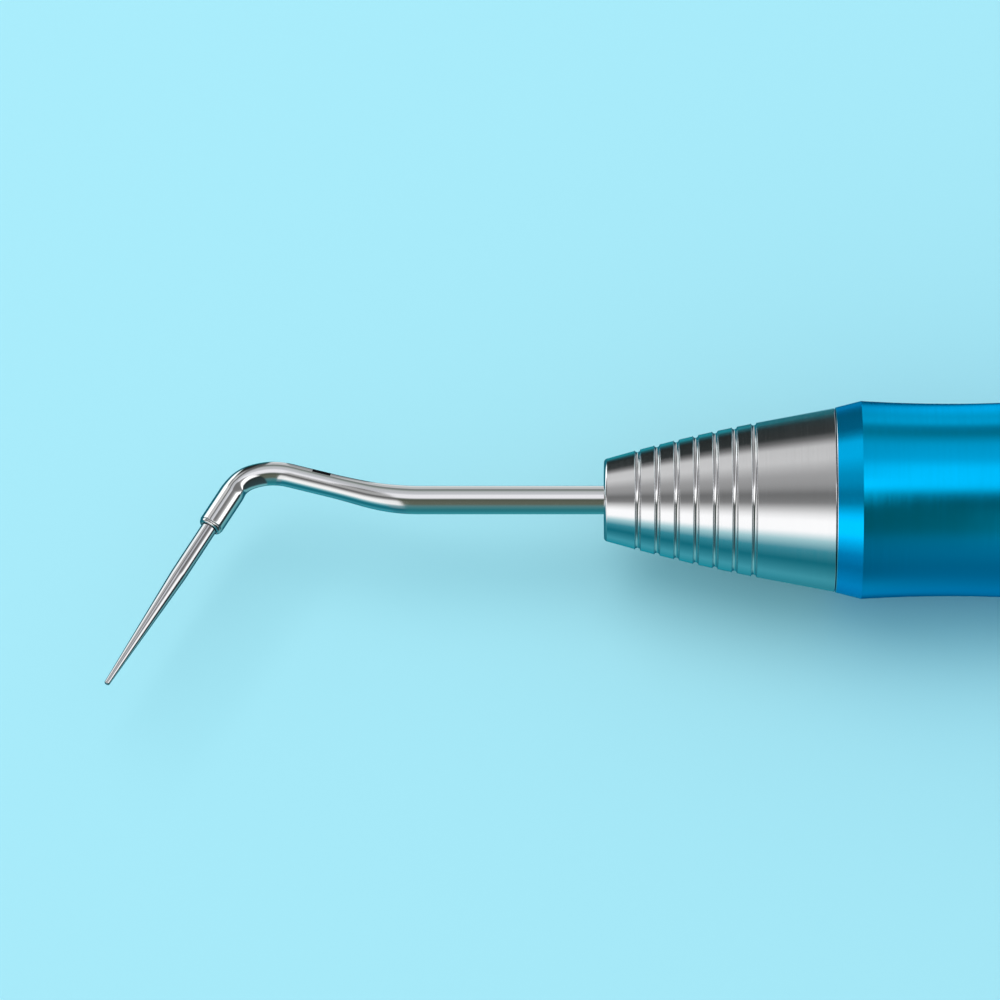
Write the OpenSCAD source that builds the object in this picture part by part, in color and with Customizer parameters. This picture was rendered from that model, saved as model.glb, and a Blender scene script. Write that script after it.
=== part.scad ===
// Hand instrument with an exchangeable bent tip.
// The tip's hub is held by a collet, which the ribbed nose cone closes.
// X runs along the handle: the tip is towards -X and the rear cap towards +X.
// The tip is bent in the XY plane, with its point towards -Y. +Z is up.
// The origin is on the handle's axis, in the middle of its cylindrical grip.

/* [Handle] */
// Largest diameter of the handle
handle_d = 10; // [9.8:0.1:12]
// Diameter of the handle's two ends, where the nose and the cap meet it
handle_end_d = 9.32; // [9.2:0.02:9.4]
// Length of the blue handle shell
handle_len = 105.4; // [90:0.2:130]
// Length of the bevel at each end of the handle
bevel_len = 1.3; // [0.8:0.1:2]
// Diameter at the bottom of the finger waist
waist_d = 9.7; // [9.5:0.02:9.8]
// Length of the finger waist
waist_len = 9.2; // [7:0.2:14]
// Distance from the front of the nose to the middle of the grip
face_to_grip = 65; // [55:1:75]

/* [Nose] */
// Length of the nose cone
nose_len = 11.6; // [11.2:0.1:12]
// Diameter of the nose at its front face
nose_front_d = 4.1; // [4:0.05:4.4]
// Length of the nose's curved, ribbed part
nose_curve_len = 8; // [7.8:0.1:8.4]
// Slope of the nose's side at its front, in degrees
nose_front_slope = 16; // [15.5:0.25:17]
// Slope of the nose's side at its rear, in degrees
nose_rear_slope = 10.8; // [10:0.2:12]
// Number of ring grooves round the nose
ring_count = 7; // [3:1:7]
// Distance from one ring groove to the next
ring_pitch = 0.975; // [0.9:0.025:1.0]
// Distance from the front face to the first ring groove
ring_first = 1.68; // [1.5:0.02:1.8]
// Width of a ring groove
ring_w = 0.28; // [0.2:0.02:0.32]
// Depth of a ring groove
ring_deep = 0.11; // [0.05:0.01:0.14]

/* [Tip] */
// Outer diameter of the tube where it leaves the nose
tube_d = 1.44; // [1.3, 1.44, 1.5]
// Outer diameter of the tube past its taper
tube_neck_d = 1.2; // [1.16, 1.2, 1.24]
// Outer diameter of the tube past the second bend
leg_d = 1.28; // [1.26, 1.28, 1.34]
// Inner diameter of the tube
lumen_d = 0.96; // [0.94, 0.96, 0.98]
// Distance from the nose to the corner of the first bend
first_corner = 10.76; // [8, 10.76, 14]
// Distance from the first bend's corner to the second one's
second_corner = 7.34; // [7.2, 7.34, 10]
// Distance from the second bend's corner to the tube's end
leg_len = 3.82; // [3.8, 3.82, 6]
// Angle between the point and the handle's axis
point_angle = 59.6; // [50, 59.6, 65]
// Radius of the first bend
first_bend_r = 11; // [9.5, 10, 11, 11.5]
// Radius of the second bend's first part; its last part is twice as tight
second_bend_r = 3.2; // [2.8, 3.2, 3.6]
// Length over which the tube tapers
taper_len = 1.7; // [1, 1.7, 1.8]
// Length of the slot in the tube's wall
slot_len = 0.94; // [0.5, 0.94, 1]
// Width of the slot in the tube's wall
slot_w = 0.4; // [0.2, 0.4, 0.42]

/* [Point] */
// Diameter of the point at its root
point_d = 0.82; // [0.7:0.02:0.84]
// Diameter of the point at its end
point_end_d = 0.28; // [0.2:0.02:0.4]
// Length of the point outside the tube
point_len = 10.16; // [8:0.08:12]
// Length of the point's parallel part outside the tube
point_parallel = 3.2; // [2:0.1:4]

/* [Rear cap] */
// Length of the cap's head
cap_len = 8; // [7:0.5:12]
// Diameter of the cap's flat end
cap_end_d = 6.4; // [5:0.2:8]
// Number of ring grooves round the cap
cap_ring_count = 5; // [2:1:6]

/* [Hidden] */
$fn = 96;

// Colours
blue = [0.02, 0.52, 0.82];
steel = [0.78, 0.79, 0.8];
dark_steel = [0.55, 0.56, 0.58];
bronze = [0.72, 0.52, 0.3];
black_rubber = [0.08, 0.08, 0.08];
red_rubber = [0.65, 0.16, 0.1];

// Clearances, all radial
run_gap = 0.05;    // a thread or a guide that turns and slides
slide_gap = 0.03;  // the collet in the chuck
grip_gap = 0.02;   // the hub in the collet, and glued pieces
joint_gap = 0.04;  // axial, between the nose or the cap and the handle

// Places along X, measured from the nose's front face
handle_x = nose_len + joint_gap;
handle_rear_x = handle_x + handle_len;
insert_r = 3.6;          // bore for the chuck body in front and for the rear insert
insert_len = 13;
rear_insert_len = 9;
inner_r = 3.2;           // bore of the handle between the two
washer_x = 0.78;         // thrust washer's pocket in the nose
washer_t = 0.12;
front_bore_r = 1.25;     // the tip passes through this bore
head_bore_r = 1.78;      // bore for the collet's head
ring_seat_x = 1.68;      // snap ring's groove in the nose
ring_seat_w = 0.34;
ring_seat_r = 1.97;
cavity_x = 2.9;          // wide part of the nose's inside
cavity_r = 2.33;
thread_x = 6.8;          // start of the chuck body's outer thread
thread_r = 3.15;
seal_x = 10.65;          // groove for the nose's O-ring
seal_w = 0.5;
chuck_x = 3.15;          // front end of the chuck body
chuck_nose_r = 2.25;
guide_r = 1.53;          // bore that guides the collet
cone_angle = 8;          // closing taper, half angle
cone_len = 2.9;
spring_end_x = 19.5;
screw_bore_r = 1.75;
key_x = 12.8;
key_r = 0.28;
collet_x = washer_x + washer_t + 0.02;
collet_rear_x = 15;
hub_r = 1.175;           // 2.35 mm shank
hub_x = 0.45;
hub_len = 13.05;
hub_seal_x = 12.1;
tube_in_hub = 10.5;
bush_grip = 1.2;         // length of the bush and the point inside the tube
bush_head_t = 0.2;
rise_angle = 15;          // by which the first bend lifts the tube; the tube builds only at this one
tight_turn = 38;          // turn of the second bend's tight last part
leg_cone_len = 0.3;       // length over which the tube widens past the second bend

// Half the diameters that the modules use as radii
handle_r = handle_d / 2;
handle_end_r = handle_end_d / 2;
tube_r = tube_d / 2;
neck_r = tube_neck_d / 2;
leg_r = leg_d / 2;
lumen_r = lumen_d / 2;
point_r = point_d / 2;

// Side of the nose: an arc whose slope eases from front to rear, then a straight cone
nose_side_r = nose_curve_len / (sin(nose_front_slope) - sin(nose_rear_slope));
function nose_slope(x) = asin(sin(nose_front_slope) - min(x, nose_curve_len) / nose_side_r);
function nose_r(x) =
    nose_front_d / 2
    + nose_side_r * (cos(nose_slope(x)) - cos(nose_front_slope))
    + max(x - nose_curve_len, 0) * tan(nose_rear_slope);

// Points of an arc in the plane of a turned outline
function arc(centre, r, from, to, steps) =
    [for (i = [0:steps]) let (a = from + (to - from) * i / steps)
        [centre[0] + r * cos(a), centre[1] + r * sin(a)]];

// A body turned about X. The outline's points are [radius, distance along X].
module turned(outline) {
    rotate([0, 90, 0]) rotate_extrude() polygon(outline);
}

// A round bore or boss along X
module round_x(from, to, r) {
    translate([from, 0, 0]) rotate([0, 90, 0]) cylinder(r = r, h = to - from);
}

// A ring of round section about X
module o_ring(x, mean_r, section_r) {
    translate([x, 0, 0]) rotate([0, 90, 0]) rotate_extrude()
        translate([mean_r, 0]) circle(r = section_r, $fn = 32);
}

// Moves a piece from the nose's face frame into the part's frame
module from_face() {
    translate([-face_to_grip, 0, 0]) children();
}

// Outline of a ring groove cut into a conical side between two distances
function groove(x, r_of_x) =
    [[r_of_x[0], x - ring_w / 2], [r_of_x[0] - ring_deep, x - ring_w / 4],
     [r_of_x[1] - ring_deep, x + ring_w / 4], [r_of_x[1], x + ring_w / 2]];

// ---- Handle ----

waist_r = waist_d / 2;
waist_sag = handle_r - waist_r;
waist_arc_r = (waist_len * waist_len / 4 + waist_sag * waist_sag) / (2 * waist_sag);

module handle_outline() {
    difference() {
        polygon([
            [inner_r, insert_len], [insert_r, insert_len], [insert_r, 0],
            [handle_end_r - 0.05, 0], [handle_end_r, 0.05],
            [handle_r, bevel_len], [handle_r, handle_len - bevel_len],
            [handle_end_r, handle_len - 0.05], [handle_end_r - 0.05, handle_len],
            [insert_r, handle_len], [insert_r, handle_len - rear_insert_len],
            [inner_r, handle_len - rear_insert_len]
        ]);
        translate([waist_r + waist_arc_r, bevel_len + waist_len / 2])
            circle(r = waist_arc_r, $fn = 720);
    }
}

module handle_shell() {
    color(blue) from_face() translate([handle_x, 0, 0])
        rotate([0, 90, 0]) rotate_extrude() handle_outline();
}

// ---- Chuck body, fixed in the front of the handle ----

chuck_rear_x = handle_x + insert_len - 0.1;
cone_mouth_r = guide_r + cone_len * tan(cone_angle);
shank_r = insert_r - grip_gap;
rear_seal_x = chuck_rear_x - 1.6;
rear_seal_w = 0.6;

module chuck_body() {
    color(steel) from_face() difference() {
        turned([
            [cone_mouth_r, chuck_x], [chuck_nose_r, chuck_x], [chuck_nose_r, thread_x],
            [thread_r - 0.15, thread_x], [thread_r, thread_x + 0.15],
            [thread_r, seal_x], [thread_r - 0.47, seal_x],
            [thread_r - 0.47, seal_x + seal_w], [thread_r, seal_x + seal_w],
            [thread_r, handle_x], [shank_r, handle_x],
            [shank_r, rear_seal_x], [shank_r - 0.5, rear_seal_x],
            [shank_r - 0.5, rear_seal_x + rear_seal_w], [shank_r, rear_seal_x + rear_seal_w],
            [shank_r, chuck_rear_x], [screw_bore_r, chuck_rear_x],
            [screw_bore_r, spring_end_x], [guide_r, spring_end_x],
            [guide_r, chuck_x + cone_len]
        ]);
        translate([key_x, 0, 0]) cylinder(r = key_r + 0.005, h = 5);
    }
}

module chuck_o_ring() {
    color(black_rubber) from_face()
        o_ring(rear_seal_x + rear_seal_w / 2, shank_r - 0.24, 0.24);
}

// Dowel that keeps the collet from turning with the nose
module collet_key() {
    color(dark_steel) from_face()
        translate([key_x, 0, hub_r + 0.05]) cylinder(r = key_r, h = shank_r - hub_r - 0.1);
}

// ---- Nose, which screws along the chuck body ----

nose_edge_r = 0.15;

module nose_cone() {
    rings = [for (i = [0:ring_count - 1]) ring_first + i * ring_pitch];
    edge = arc([nose_front_d / 2 - nose_edge_r, nose_edge_r], nose_edge_r, -90, -10, 4);
    color(steel) from_face() turned(concat(
        [[front_bore_r, 0]],
        edge,
        [for (x = rings) each groove(x, [nose_r(x - ring_w / 2), nose_r(x + ring_w / 2)])],
        [[nose_r(nose_curve_len), nose_curve_len],
         [nose_r(nose_len) - 0.01, nose_len - 0.05], [nose_r(nose_len) - 0.06, nose_len],
         [thread_r + run_gap, nose_len], [thread_r + run_gap, thread_x - 0.1],
         [cavity_r, thread_x - 0.3], [cavity_r, cavity_x],
         [head_bore_r, cavity_x], [head_bore_r, ring_seat_x + ring_seat_w],
         [ring_seat_r, ring_seat_x + ring_seat_w], [ring_seat_r, ring_seat_x],
         [head_bore_r, ring_seat_x], [head_bore_r, washer_x], [front_bore_r, washer_x]]
    ));
}

module nose_o_ring() {
    color(black_rubber) from_face() o_ring(seal_x + seal_w / 2, thread_r - 0.235, 0.225);
}

module thrust_washer() {
    color(bronze) from_face() difference() {
        round_x(washer_x, washer_x + washer_t, head_bore_r - 0.04);
        round_x(washer_x - 1, washer_x + 1, front_bore_r + 0.02);
    }
}

// Open snap ring that ties the collet to the nose, so that the nose draws it out
module collet_ring() {
    color(dark_steel) from_face() translate([ring_seat_x + 0.02, 0, 0])
        rotate([0, 90, 0]) rotate_extrude(angle = 325)
            translate([1.5, 0]) square([ring_seat_r - 1.53, ring_seat_w - 0.04]);
}

// ---- Collet and what works it ----

collet_bore_r = hub_r + grip_gap;
collet_head_r = head_bore_r - 0.06;
collet_neck_r = 1.46;
collet_stem_r = guide_r - slide_gap;
collet_cone_x = chuck_x - 0.1;
jaw_slot_w = 0.3;
jaw_count = 3;

module collet() {
    cone_front_r = collet_stem_r + (chuck_x + cone_len - collet_cone_x) * tan(cone_angle);
    color(steel) from_face() difference() {
        turned([
            [collet_bore_r, collet_x], [collet_head_r, collet_x],
            [collet_head_r, ring_seat_x - 0.06], [collet_neck_r, ring_seat_x - 0.06],
            [collet_neck_r, ring_seat_x + ring_seat_w + 0.06],
            [collet_head_r, ring_seat_x + ring_seat_w + 0.06], [collet_head_r, collet_cone_x],
            [cone_front_r, collet_cone_x], [collet_stem_r, chuck_x + cone_len],
            [collet_stem_r, collet_rear_x], [collet_bore_r, collet_rear_x]
        ]);
        for (i = [0:jaw_count - 1])
            rotate([60 + i * 360 / jaw_count, 0, 0])
                translate([0, -jaw_slot_w / 2, 0]) cube([9, jaw_slot_w, 3]);
        translate([key_x - key_r - 0.1, -key_r - 0.05, 0])
            cube([4, 2 * key_r + 0.1, 3]);
    }
}

// Rings of points along a helix about Z, for the spring's wire
spring_wire_r = 0.14;
spring_mean_r = 1.36;
spring_turns = 5;
spring_sides = 8;
spring_steps = 20;
spring_from = collet_rear_x + 0.03 + spring_wire_r;
spring_len = spring_end_x - 0.03 - spring_wire_r - spring_from;

function wire_ring(i) =
    let (a = 360 * i / spring_steps, z = spring_len * i / (spring_turns * spring_steps))
    [for (k = [0:spring_sides - 1])
        let (b = 360 * k / spring_sides, r = spring_mean_r + spring_wire_r * cos(b))
        [r * cos(a), r * sin(a), z + spring_wire_r * sin(b)]];

module collet_spring() {
    last = spring_turns * spring_steps;
    n = spring_sides;
    color(dark_steel) from_face() translate([spring_from, 0, 0]) rotate([0, 90, 0])
        polyhedron(
            points = [for (i = [0:last]) each wire_ring(i)],
            faces = concat(
                [[for (k = [0:n - 1]) k]],
                [for (i = [0:last - 1], k = [0:n - 1])
                    [i * n + k, (i + 1) * n + k, (i + 1) * n + (k + 1) % n, i * n + (k + 1) % n]],
                [[for (k = [n - 1:-1:0]) last * n + k]]
            )
        );
}

seat_t = 0.3;
screw_len = 3;

module spring_seat() {
    color(steel) from_face() difference() {
        round_x(spring_end_x + 0.01, spring_end_x + seat_t, screw_bore_r - 0.03);
        round_x(spring_end_x - 1, spring_end_x + 1, 0.6);
    }
}

module stop_screw() {
    screw_x = spring_end_x + seat_t + 0.01;
    color(dark_steel) from_face() difference() {
        round_x(screw_x, screw_x + screw_len, screw_bore_r - grip_gap);
        translate([screw_x + screw_len - 1.4, 0, 0]) rotate([0, 90, 0])
            cylinder(d = 1.73, h = 2, $fn = 6);
    }
}

// ---- Exchangeable tip ----

hub_rear_x = hub_x + hub_len;
hub_seal_w = 0.4;

module tip_hub() {
    color(steel) from_face() turned([
        [tube_r + 0.01, hub_x], [hub_r - 0.1, hub_x], [hub_r, hub_x + 0.1],
        [hub_r, hub_seal_x], [hub_r - 0.28, hub_seal_x],
        [hub_r - 0.28, hub_seal_x + hub_seal_w], [hub_r, hub_seal_x + hub_seal_w],
        [hub_r, hub_rear_x - 0.2], [hub_r - 0.2, hub_rear_x],
        [lumen_r, hub_rear_x], [lumen_r, hub_x + tube_in_hub], [tube_r + 0.01, hub_x + tube_in_hub]
    ]);
}

module hub_o_ring() {
    color(red_rubber) from_face() o_ring(hub_seal_x + hub_seal_w / 2, hub_r - 0.13, 0.13);
}

// Frames along the tube. Local Z is the way the tube runs and local Y is up in its plane.
first_turn_len = first_bend_r * tan(rise_angle / 2);
second_turn = rise_angle + point_angle;
wide_turn = second_turn - tight_turn;
tight_bend_r = second_bend_r / 2;
wide_turn_len = second_bend_r * tan(wide_turn / 2);
tight_turn_len = tight_bend_r * tan(tight_turn / 2);
// From the second bend's corner back to its start, and on to its end
corner_side = (wide_turn_len + tight_turn_len) / sin(second_turn);
before_corner = wide_turn_len + corner_side * sin(tight_turn);
after_corner = tight_turn_len + corner_side * sin(wide_turn);
rise_straight = second_corner - first_turn_len - before_corner;
leg_straight = leg_len - after_corner;
slot_start = taper_len + 0.08;

module at_first_bend() {
    translate([-(first_corner - first_turn_len), 0, 0]) rotate([0, -90, 0]) children();
}

// Past a bend whose turn is positive towards local +Y and negative towards -Y
module past_bend(turn, r) {
    way = sign(turn);
    translate([0, way * r * (1 - cos(turn)), r * sin(abs(turn))]) rotate([-turn, 0, 0]) children();
}

module at_rise() {
    at_first_bend() past_bend(rise_angle, first_bend_r) children();
}

module at_tight_bend() {
    at_rise() translate([0, 0, rise_straight]) past_bend(-wide_turn, second_bend_r) children();
}

module at_leg() {
    at_tight_bend() past_bend(-tight_turn, tight_bend_r) children();
}

module at_tube_end() {
    at_leg() translate([0, 0, leg_straight]) children();
}

// Straight piece of tube along local Z, which may taper
module tube_piece(length, start_r, end_r) {
    difference() {
        cylinder(r1 = start_r, r2 = end_r, h = length);
        translate([0, 0, -1]) cylinder(r = lumen_r, h = length + 2);
    }
}

// Bent piece of tube that turns towards local +Y
module tube_bend(turn, bend_r, outer_r) {
    translate([0, bend_r, 0]) rotate([90, 0, -90]) rotate_extrude(angle = turn)
        translate([bend_r, 0]) difference() {
            circle(r = outer_r);
            circle(r = lumen_r);
        }
}

module shank_tube() {
    entry_x = hub_x + tube_in_hub - 0.01;
    straight = entry_x + first_corner - first_turn_len;
    color(steel) from_face() {
        translate([entry_x, 0, 0]) rotate([0, -90, 0]) tube_piece(straight, tube_r, tube_r);
        at_first_bend() tube_bend(rise_angle, first_bend_r, tube_r);
        at_rise() {
            tube_piece(taper_len, tube_r, neck_r);
            difference() {
                translate([0, 0, taper_len])
                    tube_piece(rise_straight - taper_len, neck_r, neck_r);
                rotate([0, 0, -45]) translate([-slot_w / 2, 0, slot_start])
                    cube([slot_w, 1, slot_len]);
            }
            translate([0, 0, rise_straight])
                mirror([0, 1, 0]) tube_bend(wide_turn, second_bend_r, neck_r);
        }
        at_tight_bend() mirror([0, 1, 0]) tube_bend(tight_turn, tight_bend_r, neck_r);
        at_leg() {
            tube_piece(leg_cone_len, neck_r, leg_r);
            translate([0, 0, leg_cone_len])
                tube_piece(leg_straight - leg_cone_len, leg_r, leg_r);
        }
    }
}

// Flanged bush that centres the point in the tube's end
module tip_bush() {
    rim_r = leg_r - 0.03;
    bore_r = point_r + 0.005;
    color(steel) from_face() at_tube_end() rotate_extrude() polygon(concat(
        [[bore_r, -bush_grip], [lumen_r - 0.005, -bush_grip], [lumen_r - 0.005, 0.005],
         [rim_r, 0.005]],
        arc([rim_r - 0.14, bush_head_t - 0.14], 0.14, 0, 80, 4),
        [[point_r + 0.07, bush_head_t], [point_r + 0.07, bush_head_t - 0.1],
         [bore_r, bush_head_t - 0.1]]
    ));
}

module point() {
    end_r = point_end_d / 2;
    lean = atan((point_r - end_r) / (point_len - point_parallel));
    color(steel) from_face() at_tube_end() rotate_extrude() polygon(concat(
        [[0, 0.05 - bush_grip], [point_r - 0.04, 0.05 - bush_grip],
         [point_r, 0.09 - bush_grip], [point_r, point_parallel]],
        arc([0, point_len - end_r], end_r, lean, 90, 8)
    ));
}

// ---- Rear end ----

insert_rear_x = handle_rear_x - 0.1;
insert_bore_r = 2.95;

module rear_insert() {
    color(steel) from_face() difference() {
        round_x(handle_rear_x - rear_insert_len + 0.05, insert_rear_x, shank_r);
        round_x(handle_rear_x - rear_insert_len - 1, handle_rear_x + 1, insert_bore_r);
    }
}

cap_x = handle_rear_x + joint_gap;
boss_r = insert_bore_r - run_gap;
boss_len = 7.4;
cap_seal_x = cap_x - 1.4;
cap_seal_w = 0.5;
cap_slope = (cap_end_d / 2 - handle_end_r) / cap_len;
cap_ring_start = 1.9;
cap_bore_r = 1.9;

function cap_r(x) = handle_end_r + cap_slope * (x - cap_x);

module rear_cap() {
    rings = [for (i = [0:cap_ring_count - 1]) cap_x + cap_ring_start + i * ring_pitch];
    end_x = cap_x + cap_len;
    color(steel) from_face() turned(concat(
        [[cap_bore_r, cap_x - boss_len], [boss_r - 0.2, cap_x - boss_len],
         [boss_r, cap_x - boss_len + 0.2],
         [boss_r, cap_seal_x], [boss_r - 0.46, cap_seal_x],
         [boss_r - 0.46, cap_seal_x + cap_seal_w], [boss_r, cap_seal_x + cap_seal_w],
         [boss_r, cap_x], [handle_end_r - 0.06, cap_x], [handle_end_r - 0.01, cap_x + 0.05]],
        [for (x = rings) each groove(x, [cap_r(x - ring_w / 2), cap_r(x + ring_w / 2)])],
        arc([cap_end_d / 2 - 0.3, end_x - 0.3], 0.3, 10, 90, 4),
        [[0, end_x], [0, cap_x + 3.5], [cap_bore_r, cap_x + 3]]
    ));
}

module cap_o_ring() {
    color(red_rubber) from_face() o_ring(cap_seal_x + cap_seal_w / 2, boss_r - 0.23, 0.22);
}

handle_shell();
chuck_body();
chuck_o_ring();
collet_key();
nose_cone();
nose_o_ring();
thrust_washer();
collet_ring();
collet();
collet_spring();
spring_seat();
stop_screw();
tip_hub();
hub_o_ring();
shank_tube();
tip_bush();
point();
rear_insert();
rear_cap();
cap_o_ring();
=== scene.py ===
"""Looks of a hand instrument with a bent exchangeable tip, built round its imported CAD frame.

X runs along the handle, with the tip towards -X. Sizes below are in millimetres and are turned
into metres when a mesh is made. Distances along X count from the front face of the nose.
"""
import math
import bpy
from mathutils import Matrix, Vector


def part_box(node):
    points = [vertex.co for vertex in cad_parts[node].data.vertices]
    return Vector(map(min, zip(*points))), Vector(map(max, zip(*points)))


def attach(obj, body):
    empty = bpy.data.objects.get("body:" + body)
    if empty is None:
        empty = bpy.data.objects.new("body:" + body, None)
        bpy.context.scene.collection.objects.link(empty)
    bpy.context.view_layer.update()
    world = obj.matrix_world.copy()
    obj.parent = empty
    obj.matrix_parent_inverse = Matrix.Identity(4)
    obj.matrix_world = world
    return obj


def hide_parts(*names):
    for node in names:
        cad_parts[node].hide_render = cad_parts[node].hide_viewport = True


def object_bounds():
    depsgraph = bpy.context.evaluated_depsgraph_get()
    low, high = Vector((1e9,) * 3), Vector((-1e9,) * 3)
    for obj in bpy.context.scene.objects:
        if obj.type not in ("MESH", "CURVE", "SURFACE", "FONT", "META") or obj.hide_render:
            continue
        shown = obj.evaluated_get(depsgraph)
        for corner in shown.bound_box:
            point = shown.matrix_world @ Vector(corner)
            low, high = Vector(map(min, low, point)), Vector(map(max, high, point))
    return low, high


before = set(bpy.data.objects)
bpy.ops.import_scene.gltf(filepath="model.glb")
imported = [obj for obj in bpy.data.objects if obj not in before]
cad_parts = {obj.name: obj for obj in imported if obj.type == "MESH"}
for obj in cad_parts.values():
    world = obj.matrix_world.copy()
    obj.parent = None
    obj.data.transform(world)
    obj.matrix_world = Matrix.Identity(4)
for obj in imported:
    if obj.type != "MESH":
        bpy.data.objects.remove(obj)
cad_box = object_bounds()

MM = 0.001
NOSE_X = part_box("nose_cone")[0].x / MM
NOSE_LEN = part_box("nose_cone")[1].x / MM - NOSE_X
HANDLE_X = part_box("handle_shell")[0].x / MM - NOSE_X
HANDLE_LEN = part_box("handle_shell")[1].x / MM - NOSE_X - HANDLE_X
HANDLE_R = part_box("handle_shell")[1].z / MM
CAP_END_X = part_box("rear_cap")[1].x / MM - NOSE_X
CAP_BOSS_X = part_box("rear_cap")[0].x / MM - NOSE_X
CAP_X = HANDLE_X + HANDLE_LEN + HANDLE_X - NOSE_LEN

# Sizes that the CAD model shares with this script
END_R = 4.66            # radius of the handle's ends
BEVEL_LEN = 1.3
WAIST_R = 4.85
WAIST_LEN = 9.2
WAIST_RISE = 6.0         # from the waist's narrowest place back to full size
INSERT_R = 3.6          # bores for the chuck body and for the rear insert
INSERT_LEN = 13
REAR_INSERT_LEN = 9
INNER_R = 3.2           # bore of the handle between the two
GRIP_GAP = 0.02         # radial gap of glued pieces
RUN_GAP = 0.05          # radial gap of threads
NOSE_FRONT_R = 2.05
NOSE_CURVE_LEN = 8.0
NOSE_FRONT_SLOPE = math.radians(16)
NOSE_REAR_SLOPE = math.radians(10.8)
RING_FIRST = 1.68
RING_PITCH = 0.975
RING_COUNT = 7
FRONT_BORE_R = 1.25
WASHER_X = 0.78
HEAD_BORE_R = 1.78      # the collet's head
SNAP_X, SNAP_END_X, SNAP_R = 1.68, 2.02, 1.97   # the snap ring's groove
CAVITY_X, CAVITY_R = 2.9, 2.33
CHUCK_X, CHUCK_NOSE_R = 3.15, 2.25
CHUCK_LEN = 12.9        # behind the handle's front end
GUIDE_R = 1.53          # bore that guides the collet
CONE_MOUTH_R = 1.938    # the closing taper's wide end
CONE_END_X = 6.05
SPRING_END_X = 19.5
SCREW_BORE_R = 1.75
THREAD_R = 3.15
THREAD_X = 6.8
THREAD_PITCH = 0.5
SEAL_X, SEAL_W, SEAL_DEEP = 10.65, 0.5, 0.47
REAR_SEAL_W, REAR_SEAL_DEEP = 0.6, 0.5
BOSS_R = 2.9
CAP_END_R = 3.2
CAP_BORE_R = 1.9
CAP_RING_FIRST = 1.9
CAP_RING_COUNT = 5
CAP_THREAD_PITCH = 0.75
CAP_SEAL_W, CAP_SEAL_DEEP = 0.5, 0.46
HUB_R = 1.175
HUB_X = 0.45
HUB_LEN = 13.05
HUB_SEAL_X, HUB_SEAL_W, HUB_SEAL_DEEP = 12.1, 0.4, 0.28
TUBE_IN_HUB = 10.5
TUBE_START_X = HUB_X + TUBE_IN_HUB - 0.01
TUBE_R = 0.72
NECK_R = 0.6
LEG_R = 0.64
LUMEN_R = 0.48
FIRST_CORNER = 10.76
SECOND_CORNER = 7.34
LEG_LEN = 3.82
LEG_EDGE = 0.035         # rounding of the leg's end
RISE = math.radians(15)
POINT_ANGLE = math.radians(59.6)
FIRST_BEND_R = 11.0
SECOND_BEND_R = 3.2      # its last part is twice as tight
TIGHT_TURN = math.radians(38)
POINT_R = 0.41
POINT_END_R = 0.14
POINT_LEN = 10.16
POINT_PARALLEL = 3.2
BUSH_GRIP = 1.2          # length of the bush inside the tube
BUSH_HEAD = 0.2
SLOT_START = 1.78        # from the first bend's end
SLOT_LEN = 0.94

AROUND = 192            # facets round a big turned piece


# ---------------------------------------------------------------- camera

def make_camera():
    """The photograph's view: across the tip's plane from 65 degrees up, with a long lens."""
    view_width = 50.4
    lens, sensor = 400.0, 36.0
    elevation = math.radians(65)
    target = Vector((NOSE_X - 5.24, 0, 0)) * MM
    back = Vector((0, -math.cos(elevation), math.sin(elevation)))
    cam = bpy.data.objects.new("camera", bpy.data.cameras.new("camera"))
    cam.data.lens = lens
    cam.data.sensor_width = sensor
    cam.data.clip_start = 0.01
    cam.data.clip_end = 50
    cam.location = target + back * (view_width * MM * lens / sensor)
    cam.rotation_mode = "QUATERNION"
    cam.rotation_quaternion = (-back).to_track_quat("-Z", "Y")
    bpy.context.scene.collection.objects.link(cam)
    bpy.context.scene.camera = cam


# ---------------------------------------------------------------- meshes

def rounded(points, closed):
    """Outline points (x, r, fillet) as (x, r, nx, nr), with each corner turned into an arc.

    The outline runs anticlockwise in the (x, r) plane, so its outer side is on its right.
    A corner with no fillet is taken as a point of a smooth curve.
    """
    made = []
    count = len(points)
    for i, (x, r, fillet) in enumerate(points):
        before = points[i - 1] if closed or i else None
        after = points[(i + 1) % count] if closed or i < count - 1 else None
        if before is None or after is None:
            other = after or before
            n = (math.copysign(1, x - other[0]), 0)
            made.append((x, r, *n))
            continue
        d1, len1 = _way(before, (x, r))
        d2, len2 = _way((x, r), after)
        turn = math.atan2(d1[0] * d2[1] - d1[1] * d2[0], d1[0] * d2[0] + d1[1] * d2[1])
        n1, n2 = (d1[1], -d1[0]), (d2[1], -d2[0])
        if fillet == 0 or abs(turn) < math.radians(1.5):
            n = Vector(n1) + Vector(n2)
            n.normalize()
            made.append((x, r, n.x, n.y))
            continue
        cut = min(fillet * math.tan(abs(turn) / 2), 0.48 * len1, 0.48 * len2)
        radius = cut / math.tan(abs(turn) / 2)
        side = -1 if turn > 0 else 1
        centre = (x - d1[0] * cut + side * n1[0] * radius, r - d1[1] * cut + side * n1[1] * radius)
        start = math.atan2(n1[1], n1[0])
        steps = max(3, math.ceil(abs(turn) / math.radians(11)))
        for k in range(steps + 1):
            a = start + turn * k / steps
            n = (math.cos(a), math.sin(a))
            made.append((centre[0] - side * n[0] * radius, centre[1] - side * n[1] * radius, *n))
    return made


def _way(a, b):
    d = Vector((b[0] - a[0], b[1] - a[1]))
    length = d.length
    d.normalize()
    return (d.x, d.y), length


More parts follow.
